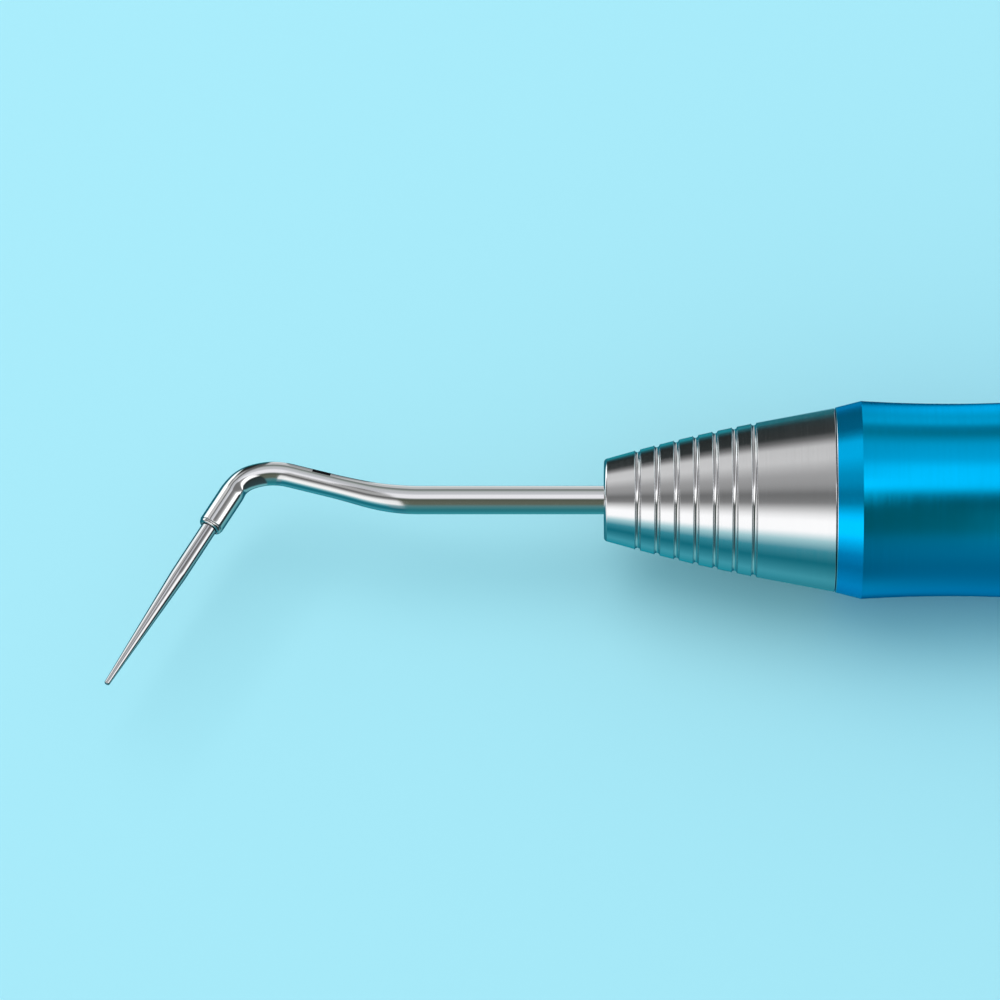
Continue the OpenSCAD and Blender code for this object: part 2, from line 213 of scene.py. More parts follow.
def add_mesh(name, verts, faces, normals, material, body, *nodes, slot):
    mesh = bpy.data.meshes.new(name)
    mesh.from_pydata([Vector(v) * MM for v in verts], [], faces)
    mesh.polygons.foreach_set("use_smooth", [True] * len(mesh.polygons))
    if normals:
        mesh.normals_split_custom_set_from_vertices(normals)
    else:
        mesh.set_sharp_from_angle(angle=math.radians(40))
    mesh.validate()
    mesh.materials.append(material)
    piece = bpy.data.objects.new(name, mesh)
    bpy.context.scene.collection.objects.link(piece)
    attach(piece, body)
    if nodes:
        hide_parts(*nodes)
    return piece


def along_axis(x):
    """Places a turned piece whose outline counts from the nose's face."""
    return Matrix.Translation((NOSE_X + x, 0, 0))


def turned(name, outline, material, body, *nodes, slot, closed=True, place=None, around=AROUND,
           relief=None):
    """A body turned about its own X. relief(x, r, angle) may return a changed radius."""
    place = place or along_axis(0)
    ring_pts = rounded(outline, closed)
    turn = place.to_3x3()
    verts, normals, rows = [], [], []
    for x, r, nx, nr in ring_pts:
        if r < 1e-6:
            rows.append([len(verts)])
            verts.append(place @ Vector((x, 0, 0)))
            normals.append(turn @ Vector((nx, 0, 0)))
            continue
        row = []
        for k in range(around):
            a = 2 * math.pi * k / around
            c, s = math.cos(a), math.sin(a)
            rr = relief(x, r, a) if relief else r
            row.append(len(verts))
            verts.append(place @ Vector((x, rr * c, rr * s)))
            normals.append(turn @ Vector((nx, nr * c, nr * s)))
        rows.append(row)
    faces = []
    pairs = list(zip(rows, rows[1:] + rows[:1])) if closed else list(zip(rows, rows[1:]))
    for low, high in pairs:
        for k in range(around):
            j = (k + 1) % around
            if len(low) == 1:
                faces.append((low[0], high[k], high[j]))
            elif len(high) == 1:
                faces.append((low[k], high[0], low[j]))
            else:
                faces.append((low[k], high[k], high[j], low[j]))
    return add_mesh(name, verts, faces, None if relief else normals, material, body, *nodes, slot=slot)


def o_ring(name, x, mean_r, section_r, material, body, slot):
    circle = [(x + section_r * math.cos(a), mean_r + section_r * math.sin(a), 0)
              for a in [2 * math.pi * k / 24 for k in range(24)]]
    return turned(name, circle, material, body, name, slot=slot)


# ---------------------------------------------------------------- materials

def new_material(name, color, metallic, roughness):
    m = bpy.data.materials.new(name)
    m.use_nodes = True
    shader = m.node_tree.nodes["Principled BSDF"]
    shader.inputs["Base Color"].default_value = (*color, 1)
    shader.inputs["Metallic"].default_value = metallic
    shader.inputs["Roughness"].default_value = roughness
    return m, m.node_tree, shader


def node(tree, kind, **values):
    n = tree.nodes.new(kind)
    for key, value in values.items():
        if key in n.inputs:
            n.inputs[key].default_value = value
        else:
            setattr(n, key, value)
    return n


def turning_coords(tree, along, around):
    """Object coordinates stretched so that noise makes fine rings round X."""
    where = node(tree, "ShaderNodeTexCoord")
    scaled = node(tree, "ShaderNodeVectorMath", operation="MULTIPLY")
    scaled.inputs[1].default_value = (along, around, around)
    tree.links.new(where.outputs["Object"], scaled.inputs[0])
    return scaled.outputs["Vector"]


def turned_metal(name, color, roughness, spread, along, around, bump, metallic=1.0):
    """Metal with fine turning rings in its gloss and its bump."""
    m, tree, shader = new_material(name, color, metallic, roughness)
    coords = turning_coords(tree, along, around)
    fine = node(tree, "ShaderNodeTexNoise", Scale=1.0, Detail=4.0, Roughness=0.65)
    tree.links.new(coords, fine.inputs["Vector"])
    gloss = node(tree, "ShaderNodeMapRange")
    gloss.inputs["From Min"].default_value = 0.3
    gloss.inputs["From Max"].default_value = 0.7
    gloss.inputs["To Min"].default_value = roughness - spread
    gloss.inputs["To Max"].default_value = roughness + spread
    tree.links.new(fine.outputs["Fac"], gloss.inputs["Value"])
    tree.links.new(gloss.outputs["Result"], shader.inputs["Roughness"])
    if bump:
        b = node(tree, "ShaderNodeBump", Strength=1.0, Distance=bump * MM)
        tree.links.new(fine.outputs["Fac"], b.inputs["Height"])
        tree.links.new(b.outputs["Normal"], shader.inputs["Normal"])
    return m


NOSE_STEEL = turned_metal("nose_steel", (0.78, 0.78, 0.79), 0.12, 0.04, 30000, 120, 0.0004)
TIP_STEEL = turned_metal("tip_steel", (0.72, 0.72, 0.72), 0.08, 0.03, 2500, 2500, 0.00015)
POINT_STEEL = turned_metal("point_steel", (0.55, 0.55, 0.56), 0.08, 0.03, 2500, 2500, 0.00015)
INNER_STEEL = turned_metal("inner_steel", (0.55, 0.55, 0.57), 0.25, 0.08, 20000, 300, 0.001)
DARK_STEEL = turned_metal("dark_steel", (0.3, 0.3, 0.31), 0.3, 0.08, 6000, 6000, 0.0005)
BRONZE = turned_metal("bronze", (0.62, 0.38, 0.17), 0.3, 0.08, 20000, 400, 0.001)
BARE_EDGE = turned_metal("bare_edge", (0.9, 0.92, 0.94), 0.12, 0.03, 8000, 500, 0.0)
HANDLE_BLUE = turned_metal("handle_blue", (0.0, 0.49, 0.9), 0.2, 0.03, 9000, 150, 0.0004)
BEVEL_BLUE = turned_metal("bevel_blue", (0.0, 0.5, 0.95), 0.14, 0.02, 9000, 150, 0.0, 0.85)
for blue in (HANDLE_BLUE, BEVEL_BLUE):
    blue.node_tree.nodes["Principled BSDF"].inputs["Specular Tint"].default_value = (0.0, 0.72, 1.0, 1)
BLACK_RUBBER, _, _ = new_material("black_rubber", (0.02, 0.02, 0.02), 0.0, 0.55)
RED_SILICONE, _, _ = new_material("red_silicone", (0.42, 0.05, 0.03), 0.0, 0.5)
# Near-black painted shade for the tube's bore and the walls of its slot: the bare steel in there is given the
# colour of its shadow
LUMEN_PAINTED_SHADE, _, _ = new_material("lumen_painted_shade", (0.012, 0.012, 0.014), 0.6, 0.7)


# ---------------------------------------------------------------- turned pieces

def nose_side(x):
    """Radius of the nose's side: its slope eases along an arc, then stays."""
    big_r = NOSE_CURVE_LEN / (math.sin(NOSE_FRONT_SLOPE) - math.sin(NOSE_REAR_SLOPE))
    a = math.asin(math.sin(NOSE_FRONT_SLOPE) - min(x, NOSE_CURVE_LEN) / big_r)
    bulge = big_r * (math.cos(a) - math.cos(NOSE_FRONT_SLOPE))
    return NOSE_FRONT_R + bulge + max(x - NOSE_CURVE_LEN, 0) * math.tan(NOSE_REAR_SLOPE)


def ring_groove(x, side):
    """A groove with a round floor and soft shoulders, from rear to front."""
    floor_r, lift, reach = 0.14, 0.035, math.radians(74)
    made = []
    for k in range(8, -9, -1):
        a = reach * k / 8
        made.append((x + floor_r * math.sin(a), side(x) + lift - floor_r * math.cos(a), 0))
    edge = floor_r + 0.01
    return [(x + edge, side(x + edge), 0.03)] + made + [(x - edge, side(x - edge), 0.03)]


def make_nose():
    outer = [(NOSE_LEN, nose_side(NOSE_LEN) - 0.01, 0.03)]
    outer += [(NOSE_CURVE_LEN, nose_side(NOSE_CURVE_LEN), 0)]
    for i in range(RING_COUNT - 1, -1, -1):
        x = RING_FIRST + i * RING_PITCH
        outer += ring_groove(x, nose_side)
        if i:
            outer += [(x - RING_PITCH / 2, nose_side(x - RING_PITCH / 2), 0)]
    outer += [(0.0, NOSE_FRONT_R, 0.2), (0.0, FRONT_BORE_R, 0.06)]
    thread_bore = THREAD_R + RUN_GAP
    inner = [(WASHER_X, FRONT_BORE_R, 0.03), (WASHER_X, HEAD_BORE_R, 0.02),
             (SNAP_X, HEAD_BORE_R, 0.02), (SNAP_X, SNAP_R, 0.02),
             (SNAP_END_X, SNAP_R, 0.02), (SNAP_END_X, HEAD_BORE_R, 0.02),
             (CAVITY_X, HEAD_BORE_R, 0.02), (CAVITY_X, CAVITY_R, 0.05),
             (THREAD_X - 0.3, CAVITY_R, 0.02), (THREAD_X - 0.1, thread_bore, 0.02),
             (NOSE_LEN, thread_bore, 0.08)]
    turned("nose_body", outer + inner, NOSE_STEEL, "nose", "nose_cone", slot="nose_steel", around=256)


def waist(x):
    """Radius of the handle's shallow finger waist, counted from its start. It runs out softly."""
    sag = HANDLE_R - WAIST_R
    past = x - WAIST_LEN / 2
    if past > 0:
        return WAIST_R + sag * (1 - math.cos(math.pi * past / WAIST_RISE)) / 2
    big_r = (WAIST_LEN ** 2 / 4 + sag ** 2) / (2 * sag)
    return WAIST_R + big_r - math.sqrt(big_r ** 2 - past ** 2)


def make_handle():
    x0, x1 = HANDLE_X, HANDLE_X + HANDLE_LEN
    steps = 36
    dip_len = WAIST_LEN / 2 + WAIST_RISE
    dip = [(x0 + BEVEL_LEN + dip_len * k / steps, waist(dip_len * k / steps), 0)
           for k in range(steps, -1, -1)]
    dip[-1] = (dip[-1][0], dip[-1][1], 0.06)
    mid = [(x0 + 30 + 10 * k, HANDLE_R, 0) for k in range(7, -1, -1)]
    outline = [(x1, INSERT_R, 0.08), (x1, END_R, 0.05), (x1 - BEVEL_LEN, HANDLE_R, 0.06)]
    outline += mid + dip + [(x0, END_R, 0.05), (x0, INSERT_R, 0.08)]
    outline += [(x0 + INSERT_LEN, INSERT_R, 0.02), (x0 + INSERT_LEN, INNER_R, 0.05),
                (x1 - REAR_INSERT_LEN, INNER_R, 0.05), (x1 - REAR_INSERT_LEN, INSERT_R, 0.02)]
    piece = turned("handle_tube", outline, HANDLE_BLUE, "handle", "handle_shell",
                   slot="handle_blue", around=256)
    piece.data.materials.append(BARE_EDGE)
    piece.data.materials.append(BEVEL_BLUE)
    rim = END_R + 0.03
    for p in piece.data.polygons:
        x = p.center.x / MM - NOSE_X
        r = math.hypot(p.center.y, p.center.z) / MM
        at_end = min(abs(x - x0), abs(x - x1)) < 0.07
        if at_end and END_R - 0.2 < r < rim:
            p.material_index = 1
        elif min(abs(x - x0), abs(x - x1)) < BEVEL_LEN and r > END_R:
            p.material_index = 2


def thread(start, end, pitch, deep):
    """Relief of a thread cut between two distances, running out softly at both ends."""
    def relief(x, r, angle):
        if not start < x < end:
            return r
        phase = (x / pitch - angle / (2 * math.pi)) % 1
        flank = min(1.0, max(0.0, 1.6 * abs(2 * phase - 1) - 0.3))
        fade = min(1.0, (x - start) / (0.6 * pitch), (end - x) / (0.6 * pitch))
        return r - deep * (1 - flank) * fade
    return relief


def fine_rows(start, end, r, step=0.03):
    """Points of a straight stretch close enough together to carry a thread, from rear to front."""
    count = round((end - start) / step)
    return [(start + (end - start) * k / count, r, 0) for k in range(count, -1, -1)]


def make_chuck():
    shank_r = INSERT_R - GRIP_GAP
    rear = HANDLE_X + CHUCK_LEN
    groove = rear - 1.6
    groove_end = groove + REAR_SEAL_W
    outline = [(rear, SCREW_BORE_R, 0.05), (rear, shank_r, 0.1), (groove_end, shank_r, 0.03),
               (groove_end, shank_r - REAR_SEAL_DEEP, 0.05), (groove, shank_r - REAR_SEAL_DEEP, 0.05),
               (groove, shank_r, 0.03), (HANDLE_X, shank_r, 0.06), (HANDLE_X, THREAD_R, 0.05),
               (SEAL_X + SEAL_W, THREAD_R, 0.03), (SEAL_X + SEAL_W, THREAD_R - SEAL_DEEP, 0.05),
               (SEAL_X, THREAD_R - SEAL_DEEP, 0.05), (SEAL_X, THREAD_R, 0.03)]
    start, end = THREAD_X + 0.2, SEAL_X - 0.1
    outline += fine_rows(start, end, THREAD_R)
    outline += [(THREAD_X, THREAD_R - 0.05, 0.03), (THREAD_X, CHUCK_NOSE_R, 0.05),
                (CHUCK_X, CHUCK_NOSE_R, 0.06), (CHUCK_X, CONE_MOUTH_R, 0.03), (CONE_END_X, GUIDE_R, 0),
                (SPRING_END_X, GUIDE_R, 0.02), (SPRING_END_X, SCREW_BORE_R, 0.02)]
    turned("chuck", outline, INNER_STEEL, "handle", "chuck_body", slot="inner_steel", around=128,
           relief=thread(start, end, THREAD_PITCH, 0.28))


def make_cap():
    cap_len = CAP_END_X - CAP_X
    slope = (CAP_END_R - END_R) / cap_len

    def side(x):
        return END_R + slope * (x - CAP_X)

    outer = [(CAP_END_X, 0, 0), (CAP_END_X, CAP_END_R - 0.05, 0.3)]
    for i in range(CAP_RING_COUNT - 1, -1, -1):
        x = CAP_X + CAP_RING_FIRST + i * RING_PITCH
        outer += ring_groove(x, side)
        if i:
            outer += [(x - RING_PITCH / 2, side(x - RING_PITCH / 2), 0)]
    seal = CAP_X - 1.4
    outer += [(CAP_X, END_R - 0.01, 0.03), (CAP_X, BOSS_R, 0.05),
              (seal + CAP_SEAL_W, BOSS_R, 0.03), (seal + CAP_SEAL_W, BOSS_R - CAP_SEAL_DEEP, 0.05),
              (seal, BOSS_R - CAP_SEAL_DEEP, 0.05), (seal, BOSS_R, 0.03)]
    start, end = CAP_BOSS_X + 0.4, seal - 0.25
    outer += fine_rows(start, end, BOSS_R)
    outer += [(CAP_BOSS_X, BOSS_R, 0.2), (CAP_BOSS_X, CAP_BORE_R, 0.08),
              (CAP_X + 3, CAP_BORE_R, 0.05), (CAP_X + 3.5, 0, 0)]
    turned("cap_body", outer, NOSE_STEEL, "cap", "rear_cap", slot="nose_steel", closed=False,
           around=AROUND, relief=thread(start, end, CAP_THREAD_PITCH, 0.36))


def make_rear_insert():
    x0 = HANDLE_X + HANDLE_LEN - REAR_INSERT_LEN + 0.05
    x1 = HANDLE_X + HANDLE_LEN - 0.1
    outline = [(x1, BOSS_R + RUN_GAP, 0.15), (x1, INSERT_R - GRIP_GAP, 0.05),
               (x0, INSERT_R - GRIP_GAP, 0.1), (x0, BOSS_R + RUN_GAP, 0.1)]
    turned("insert_ring", outline, INNER_STEEL, "handle", "rear_insert", slot="inner_steel")


def make_hub():
    rear = HUB_X + HUB_LEN
    seal_end = HUB_SEAL_X + HUB_SEAL_W
    tube_end_x = HUB_X + TUBE_IN_HUB
    outline = [(rear, LUMEN_R, 0.03), (rear, HUB_R - 0.2, 0.03), (rear - 0.2, HUB_R, 0.05),
               (seal_end, HUB_R, 0.03), (seal_end, HUB_R - HUB_SEAL_DEEP, 0.03),
               (HUB_SEAL_X, HUB_R - HUB_SEAL_DEEP, 0.03), (HUB_SEAL_X, HUB_R, 0.03),
               (HUB_X + 0.1, HUB_R, 0.03), (HUB_X, HUB_R - 0.1, 0.03), (HUB_X, TUBE_R + 0.01, 0.04),
               (tube_end_x, TUBE_R + 0.01, 0.01), (tube_end_x, LUMEN_R, 0.01)]
    turned("hub", outline, TIP_STEEL, "tip", "tip_hub", slot="tip_steel", around=96)


# ---------------------------------------------------------------- bent tube, bush and point

def tube_route():
    """Stations (point, tangent, length so far) along the tube, and where its stretches end."""
    first_cut = FIRST_BEND_R * math.tan(RISE / 2)
    second_turn = RISE + POINT_ANGLE
    wide_turn = second_turn - TIGHT_TURN
    wide_cut = SECOND_BEND_R * math.tan(wide_turn / 2)
    tight_cut = SECOND_BEND_R / 2 * math.tan(TIGHT_TURN / 2)
    corner_side = (wide_cut + tight_cut) / math.sin(second_turn)
    before = wide_cut + corner_side * math.sin(TIGHT_TURN)
    after = tight_cut + corner_side * math.sin(wide_turn)
    stretches = [("line", TUBE_START_X + FIRST_CORNER - first_cut, 40),
                 ("bend", -RISE, FIRST_BEND_R, 24),
                 ("line", SECOND_CORNER - first_cut - before, 60),
                 ("bend", wide_turn, SECOND_BEND_R, 32), ("bend", TIGHT_TURN, SECOND_BEND_R / 2, 24),
                 ("line", LEG_LEN - after - LEG_EDGE, 40), ("line", LEG_EDGE, 6)]
    where = Vector((TUBE_START_X, 0, 0))
    heading = math.pi
    s = 0.0
    stations = [(where.copy(), heading, s)]
    ends = []
    for stretch in stretches:
        if stretch[0] == "line":
            _, length, steps = stretch
            way = Vector((math.cos(heading), math.sin(heading), 0))
            for k in range(1, steps + 1):
                stations.append((where + way * length * k / steps, heading, s + length * k / steps))
            where = where + way * length
            s += length
        else:
            _, turn, r, steps = stretch
            left = Vector((-math.sin(heading), math.cos(heading), 0)) * math.copysign(1, turn)
            centre = where + left * r
            for k in range(1, steps + 1):
                a = turn * k / steps
                spoke = Matrix.Rotation(a, 3, "Z") @ (-left * r)
                stations.append((centre + spoke, heading + a, s + abs(a) * r))
            where = centre + Matrix.Rotation(turn, 3, "Z") @ (-left * r)
            heading += turn
            s += abs(turn) * r
        ends.append(s)
    return stations, ends


def eased(x, x0, x1):
    t = min(1.0, max(0.0, (x - x0) / (x1 - x0)))
    return t * t * (3 - 2 * t)


def tube_radius(s, ends):
    """The tube narrows through its first bend and widens again at the end of the second one."""
    neck = eased(s, ends[0] + 0.6, ends[1] + 1.7)
    leg = eased(s, ends[4] - 0.3, ends[4] + 0.3)
    r = TUBE_R + (NECK_R - TUBE_R) * neck + (LEG_R - NECK_R) * leg
    into = max(0.0, s - ends[-1] + LEG_EDGE)
    return r - LEG_EDGE + math.sqrt(max(0.0, LEG_EDGE ** 2 - into ** 2))


def make_tube():
    stations, ends = tube_route()
    slot_from = ends[1] + SLOT_START
    slot_to = slot_from + SLOT_LEN
    count = 96
    # the stations nearest the slot's two ends are moved onto them
    for edge in (slot_from, slot_to):
        i = min(range(len(stations)), key=lambda k: abs(stations[k][2] - edge))
        p, h, s = stations[i]
        stations[i] = (p + Vector((math.cos(h), math.sin(h), 0)) * (edge - s), h, edge)
    slot_rows = [i for i, (_, _, s) in enumerate(stations) if slot_from - 1e-6 <= s <= slot_to + 1e-6]
    # degrees round the tube, from the bend's outside towards +Z
    slot_cols = range(round(count * 26 / 360), round(count * 64 / 360))
    place = along_axis(0)
    verts, outer, inner = [], [], []
    for p, h, s in stations:
        up = Vector((math.sin(h), -math.cos(h), 0))
        for rows, r in ((outer, tube_radius(s, ends)), (inner, LUMEN_R)):
            row = []
            for k in range(count):
                a = 2 * math.pi * k / count
                row.append(len(verts))
                verts.append(place @ (p + (up * math.cos(a) + Vector((0, 0, 1)) * math.sin(a)) * r))
            rows.append(row)
    faces, lumen = [], []
    open_rows = set(slot_rows[:-1])
    for i in range(len(stations) - 1):
        for k in range(count):
            j = (k + 1) % count
            if i in open_rows and k in slot_cols:
                continue
            faces.append((outer[i][k], outer[i][j], outer[i + 1][j], outer[i + 1][k]))
            lumen.append(len(faces))
            faces.append((inner[i][k], inner[i + 1][k], inner[i + 1][j], inner[i][j]))
    for k in range(count):
        j = (k + 1) % count
        faces.append((outer[0][k], inner[0][k], inner[0][j], outer[0][j]))
        faces.append((outer[-1][k], outer[-1][j], inner[-1][j], inner[-1][k]))
    low, high = slot_cols[0], slot_cols[-1] + 1
    walls = len(faces)
    for i in slot_rows[:-1]:
        faces.append((outer[i][low], inner[i][low], inner[i + 1][low], outer[i + 1][low]))
        faces.append((outer[i][high], outer[i + 1][high], inner[i + 1][high], inner[i][high]))
    for k in slot_cols:
        a, b = slot_rows[0], slot_rows[-1]
        faces.append((outer[a][k], outer[a][k + 1], inner[a][k + 1], inner[a][k]))
        faces.append((outer[b][k], inner[b][k], inner[b][k + 1], outer[b][k + 1]))
    piece = add_mesh("tube", verts, faces, None, TIP_STEEL, "tip", "shank_tube", slot="tip_steel")
    # The bore and the slot's walls take the near-black painted shade in place of the tube's own steel, so the
    # slot shows as a dark mark
    piece.data.materials.append(LUMEN_PAINTED_SHADE)
    for i in lumen + list(range(walls, len(faces))):
        piece.data.polygons[i].material_index = 1
    end, heading, _ = stations[-1]
    turn = Matrix.Rotation(heading, 4, "Z")
    return place @ Matrix.Translation(end) @ turn


def make_bush(place):
    rim = LEG_R - 0.03
    outer_r, bore_r, mouth_r = LUMEN_R - 0.005, POINT_R + 0.005, POINT_R + 0.07
    dome = []
    for k in range(8, -1, -1):
        a = math.radians(10 * k)
        dome.append((0.03 + (BUSH_HEAD - 0.03) * math.sin(a), rim - 0.15 + 0.15 * math.cos(a), 0))
    outline = dome + [
        (0.005, rim - 0.02, 0.02), (0.005, outer_r, 0.005),
        (-BUSH_GRIP, outer_r, 0.03), (-BUSH_GRIP, bore_r, 0.02), (BUSH_HEAD - 0.1, bore_r, 0.01),
        (BUSH_HEAD - 0.1, mouth_r, 0.02), (BUSH_HEAD - 0.01, mouth_r, 0.01)]
    turned("bush", outline[::-1], TIP_STEEL, "tip", "tip_bush", slot="tip_steel", place=place, around=96)


def make_point(place):
    root = 0.05 - BUSH_GRIP
    outline = [(root, 0, 0), (root, POINT_R, 0.04), (POINT_PARALLEL - 1, POINT_R, 0),
               (POINT_PARALLEL, POINT_R, 6.0), (POINT_LEN, POINT_END_R, 0.13), (POINT_LEN, 0, 0)]
    turned("point_pin", outline[::-1], POINT_STEEL, "tip", "point", slot="tip_steel", closed=False,
           place=place, around=96)


# ---------------------------------------------------------------- spring

def make_spring():
    wire_r, mean_r, turns, sides, steps = 0.14, 1.36, 5, 16, 48
    x0, x1 = 15.03 + wire_r, SPRING_END_X - 0.03 - wire_r
    verts, faces = [], []
    total = turns * steps
    for i in range(total + 1):
        a = 2 * math.pi * i / steps
        x = x0 + (x1 - x0) * i / total
        for k in range(sides):
            b = 2 * math.pi * k / sides
            r = mean_r + wire_r * math.cos(b)
            verts.append((NOSE_X + x + wire_r * math.sin(b), -r * math.sin(a), r * math.cos(a)))
    for i in range(total):
        for k in range(sides):
            j = (k + 1) % sides
            faces.append((i * sides + k, i * sides + j, (i + 1) * sides + j, (i + 1) * sides + k))
    faces.append(tuple(range(sides - 1, -1, -1)))
    faces.append(tuple(total * sides + k for k in range(sides)))
    add_mesh("spring", verts, faces, None, DARK_STEEL, "handle", "collet_spring", slot="spring_steel")


# ---------------------------------------------------------------- stage and light

def ramp_stops(ramp, stops):
    """Sets a colour ramp from (degrees from the view towards the picture's top, colour) pairs."""
    elements = ramp.elements
    while len(elements) > 1:
        elements.remove(elements[-1])
    for i, (angle, color) in enumerate(stops):
        e = elements[0] if i == 0 else elements.new((180 - angle) / 360)
        e.position = (180 - angle) / 360
        e.color = (*color, 1) if len(color) == 3 else (color[0],) * 3 + (1,)


def math_node(tree, operation, first, second=None, third=None):
    n = node(tree, "ShaderNodeMath", operation=operation)
    for i, value in enumerate((first, second, third)):
        if isinstance(value, (int, float)):
            n.inputs[i].default_value = value
        elif value is not None:
            tree.links.new(value, n.inputs[i])
    return n.outputs[0]


def make_world():
    """Studio light as a soft dome of long panels, which only reflections see.

    All other rays meet one plain colour. The dome's colour follows the angle round the handle's
    axis. Five sets of panels share it: one straight round the sides, one towards the rear, and
    three towards the tip, one past another. So each piece of metal reflects bands of its own.
    """
    world = bpy.data.worlds.new("studio")
    bpy.context.scene.world = world
    world.use_nodes = True
    tree = world.node_tree
    tree.nodes.clear()
    out = node(tree, "ShaderNodeOutputWorld")
    where = node(tree, "ShaderNodeTexCoord")
    split = node(tree, "ShaderNodeSeparateXYZ")
    tree.links.new(where.outputs["Generated"], split.inputs[0])
    angle = math_node(tree, "ARCTAN2", split.outputs["Z"], split.outputs["Y"])
    turn = math_node(tree, "MULTIPLY_ADD", angle, 1 / (2 * math.pi), 65 / 360)
    round_axis = math_node(tree, "WRAP", turn, 1.0, 0.0)
    spread = math_node(tree, "SINE", math_node(tree, "MULTIPLY", round_axis, math.pi))
    spread = math_node(tree, "MAXIMUM", math_node(tree, "MULTIPLY", spread, 2.0), 0.05)
    slant = math_node(tree, "DIVIDE", split.outputs["X"], spread)

    mixed = None
    for stops, start, end in ((SIDE_LIGHT, 0, 0), (GAP_LIGHT, -0.05, -0.08),
                              (NOSE_LIGHT, -0.13, -0.16), (TIP_LIGHT, -0.3, -0.36),
                              (REAR_LIGHT, 0.085, 0.12)):
        ramp = node(tree, "ShaderNodeValToRGB")
        tree.links.new(round_axis, ramp.inputs[0])
        ramp_stops(ramp.color_ramp, stops)
        if mixed is None:
            mixed = ramp.outputs["Color"]
            continue
        share = node(tree, "ShaderNodeMapRange", interpolation_type="SMOOTHSTEP")
        share.inputs["From Min"].default_value = start
        share.inputs["From Max"].default_value = end
        tree.links.new(slant, share.inputs["Value"])
        mix = node(tree, "ShaderNodeMix", data_type="RGBA")
        tree.links.new(share.outputs["Result"], mix.inputs["Factor"])
        tree.links.new(mixed, mix.inputs["A"])
        tree.links.new(ramp.outputs["Color"], mix.inputs["B"])
        mixed = mix.outputs["Result"]

    dome = node(tree, "ShaderNodeBackground", Strength=1.0)
    tree.links.new(mixed, dome.inputs["Color"])
    plain = node(tree, "ShaderNodeBackground", Strength=1.0)
    plain.inputs["Color"].default_value = (*BACKDROP, 1)
    rays = node(tree, "ShaderNodeLightPath")
    pick = node(tree, "ShaderNodeMixShader")
    tree.links.new(rays.outputs["Is Glossy Ray"], pick.inputs[0])
    tree.links.new(plain.outputs[0], pick.inputs[1])
    tree.links.new(dome.outputs[0], pick.inputs[2])
    tree.links.new(pick.outputs[0], out.inputs["Surface"])


BACKDROP = (0.5, 0.78, 0.86)
SIDE_LIGHT = [
    (180, (0.03, 0.26, 0.32)), (162, (0.2, 0.5, 0.6)), (150, (0.9, 0.95, 0.95)), (136, (0.88, 0.9, 0.92)),
    (120, (0.6, 0.65, 0.65)), (106, (0.74, 0.74, 0.76)), (97, (0.28, 0.3, 0.3)), (86, (0.22, 0.27, 0.24)),
    (70, (0.62, 0.64, 0.66)), (50, (0.7, 0.72, 0.76)), (38, (1.1, 1.1, 1.15)), (16, (1.1, 1.1, 1.15)),
    (6, (0.2, 0.22, 0.2)), (-4, (0.09, 0.11, 0.08)), (-12, (0.14, 0.155, 0.12)), (-34, (0.14, 0.17, 0.13)),
    (-50, (0.12, 0.27, 0.28)), (-66, (0.07, 0.27, 0.3)), (-86, (0.03, 0.23, 0.27)), (-104, (0.03, 0.25, 0.3)),
    (-136, (0.05, 0.36, 0.42)), (-180, (0.03, 0.26, 0.32))]
GAP_LIGHT = [
    (180, (0.01, 0.2, 0.26)), (140, (0.02, 0.1, 0.12)), (104, (0.1, 0.1, 0.1)), (76, (0.2, 0.2, 0.2)),
    (40, (0.2, 0.2, 0.2)), (28, (0.5, 0.5, 0.5)), (16, (0.5, 0.5, 0.5)), (4, (0.12, 0.12, 0.12)),
    (-8, (0.4, 0.4, 0.4)), (-20, (1.1, 1.1, 1.1)), (-44, (1.2, 1.2, 1.2)), (-58, (0.3, 0.5, 0.55)),
    (-90, (0.01, 0.17, 0.23)), (-130, (0.05, 0.3, 0.38)), (-180, (0.01, 0.2, 0.26))]
NOSE_LIGHT = [
    (180, (0.01, 0.3, 0.38)), (150, (0.02, 0.28, 0.34)), (140, (0.02, 0.1, 0.12)),
    (128, (0.02, 0.025, 0.025)), (98, (0.03, 0.035, 0.035)), (88, (0.2, 0.2, 0.2)), (76, (0.7, 0.7, 0.7)),
    (56, (0.73, 0.73, 0.73)), (34, (0.42, 0.42, 0.42)), (20, (0.34, 0.34, 0.34)), (8, (0.18, 0.18, 0.18)),
    (-4, (0.24, 0.24, 0.24)), (-20, (1.0, 1.0, 1.0)), (-28, (1.25, 1.25, 1.25)),
    (-44, (1.25, 1.25, 1.25)), (-56, (0.45, 0.75, 0.8)), (-72, (0.04, 0.3, 0.38)),
    (-92, (0.005, 0.17, 0.23)), (-126, (0.06, 0.38, 0.47)), (-160, (0.01, 0.28, 0.36)),
    (-180, (0.01, 0.3, 0.38))]
TIP_LIGHT = [
    (180, (0.01, 0.16, 0.22)), (130, (0.01, 0.16, 0.22)), (118, (1.3, 1.5, 1.5)), (84, (1.8, 1.8, 1.8)),
    (72, (0.18, 0.18, 0.18)), (20, (0.14, 0.14, 0.14)), (-8, (1.0, 1.0, 1.0)), (-60, (1.0, 1.0, 1.0)),
    (-80, (0.05, 0.3, 0.36)), (-180, (0.01, 0.16, 0.22))]
REAR_LIGHT = [
    (180, (0.01, 0.16, 0.22)), (154, (0.03, 0.05, 0.06)), (140, (0.3, 0.34, 0.36)), (104, (0.45, 0.45, 0.45)),
    (62, (0.28, 0.28, 0.28)), (50, (0.22, 0.22, 0.22)), (34, (0.25, 0.25, 0.25)), (26, (0.6, 0.6, 0.6)),
    (20, (1.8, 1.8, 1.8)), (2, (1.8, 1.8, 1.8)), (-9, (0.03, 0.04, 0.04)), (-95, (0.04, 0.08, 0.09)),
    (-120, (0.2, 0.55, 0.6)), (-144, (0.15, 0.45, 0.5)), (-158, (0.01, 0.14, 0.2)), (-180, (0.01, 0.14, 0.2))]


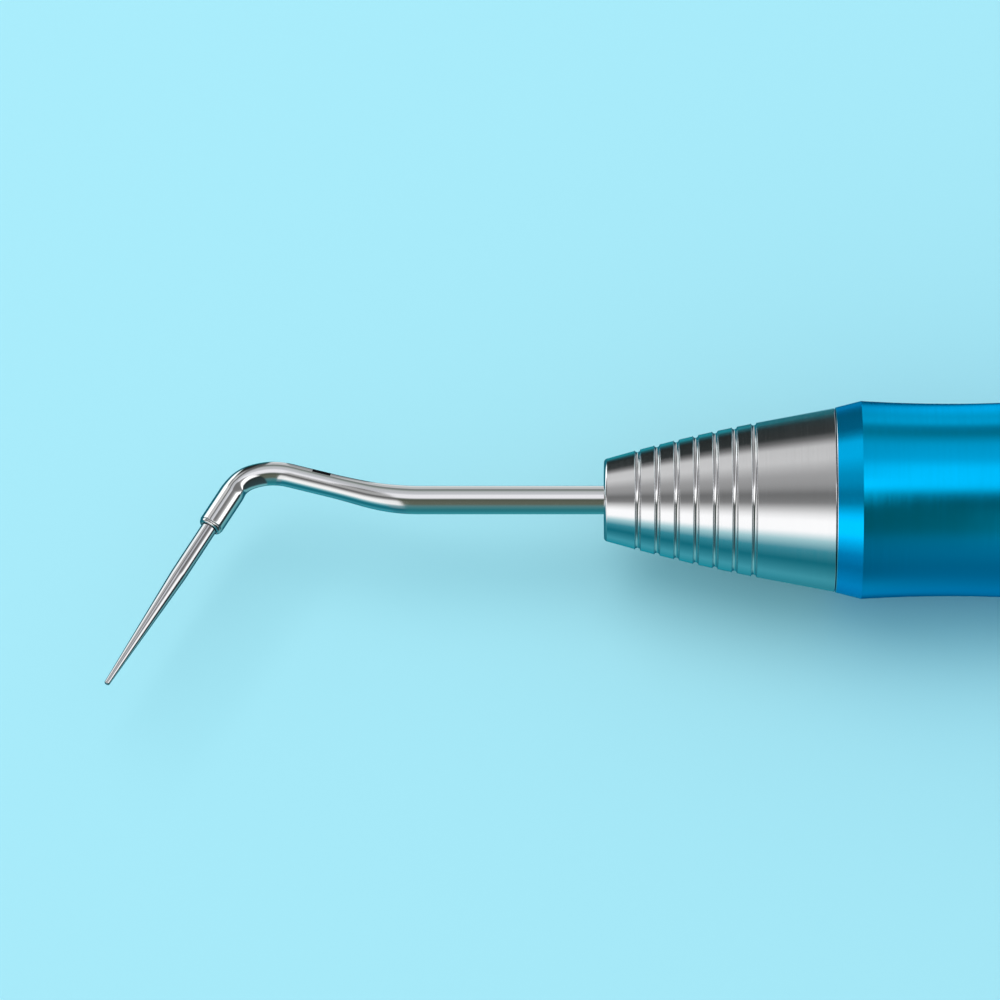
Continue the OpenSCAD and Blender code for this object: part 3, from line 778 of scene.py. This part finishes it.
def make_stage():
    make_world()
    low = cad_box[0].z
    size = 6.0
    mesh = bpy.data.meshes.new("floor")
    mesh.from_pydata([(-size, -size, low), (size, -size, low), (size, size, low), (-size, size, low)],
                     [], [(0, 1, 2, 3)])
    floor = bpy.data.objects.new("floor", mesh)
    bpy.context.scene.collection.objects.link(floor)
    material, _, _ = new_material("floor_pale", (0.5, 0.8, 0.86), 0.0, 0.7)
    mesh.materials.append(material)
    floor.visible_glossy = False
    light = bpy.data.lights.new("softbox", "AREA")
    light.shape = "RECTANGLE"
    light.size = 0.5
    light.size_y = 0.4
    light.energy = 1.2
    box = bpy.data.objects.new("softbox", light)
    box.location = (-0.25, 0.2, 0.5)
    aim = Vector((-0.03, 0, 0)) - box.location
    box.rotation_mode = "QUATERNION"
    box.rotation_quaternion = aim.to_track_quat("-Z", "Y")
    box.visible_glossy = False
    bpy.context.scene.collection.objects.link(box)
    bpy.context.scene.view_settings.view_transform = "Standard"


def finish_cad_nodes():
    """Materials for the CAD pieces that stay as they are."""
    looks = {"collet": INNER_STEEL, "collet_ring": DARK_STEEL, "collet_key": DARK_STEEL,
             "spring_seat": INNER_STEEL, "stop_screw": DARK_STEEL, "thrust_washer": BRONZE}
    for name, material in looks.items():
        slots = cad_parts[name].material_slots
        for s in slots:
            s.material = material


make_camera()
make_nose()
make_handle()
make_chuck()
make_cap()
make_rear_insert()
make_hub()
tube_end = make_tube()
make_bush(tube_end)
make_point(tube_end)
make_spring()
o_ring("nose_o_ring", SEAL_X + SEAL_W / 2, THREAD_R - 0.235, 0.225, BLACK_RUBBER, "handle", "black_rubber")
o_ring("chuck_o_ring", HANDLE_X + CHUCK_LEN - 1.3, INSERT_R - 0.26, 0.24, BLACK_RUBBER, "handle",
       "black_rubber")
o_ring("hub_o_ring", HUB_SEAL_X + HUB_SEAL_W / 2, HUB_R - 0.13, 0.13, RED_SILICONE, "hub_seal",
       "red_silicone")
o_ring("cap_o_ring", CAP_X - 1.15, BOSS_R - 0.23, 0.22, RED_SILICONE, "cap_seal", "red_silicone")
finish_cad_nodes()
make_stage()
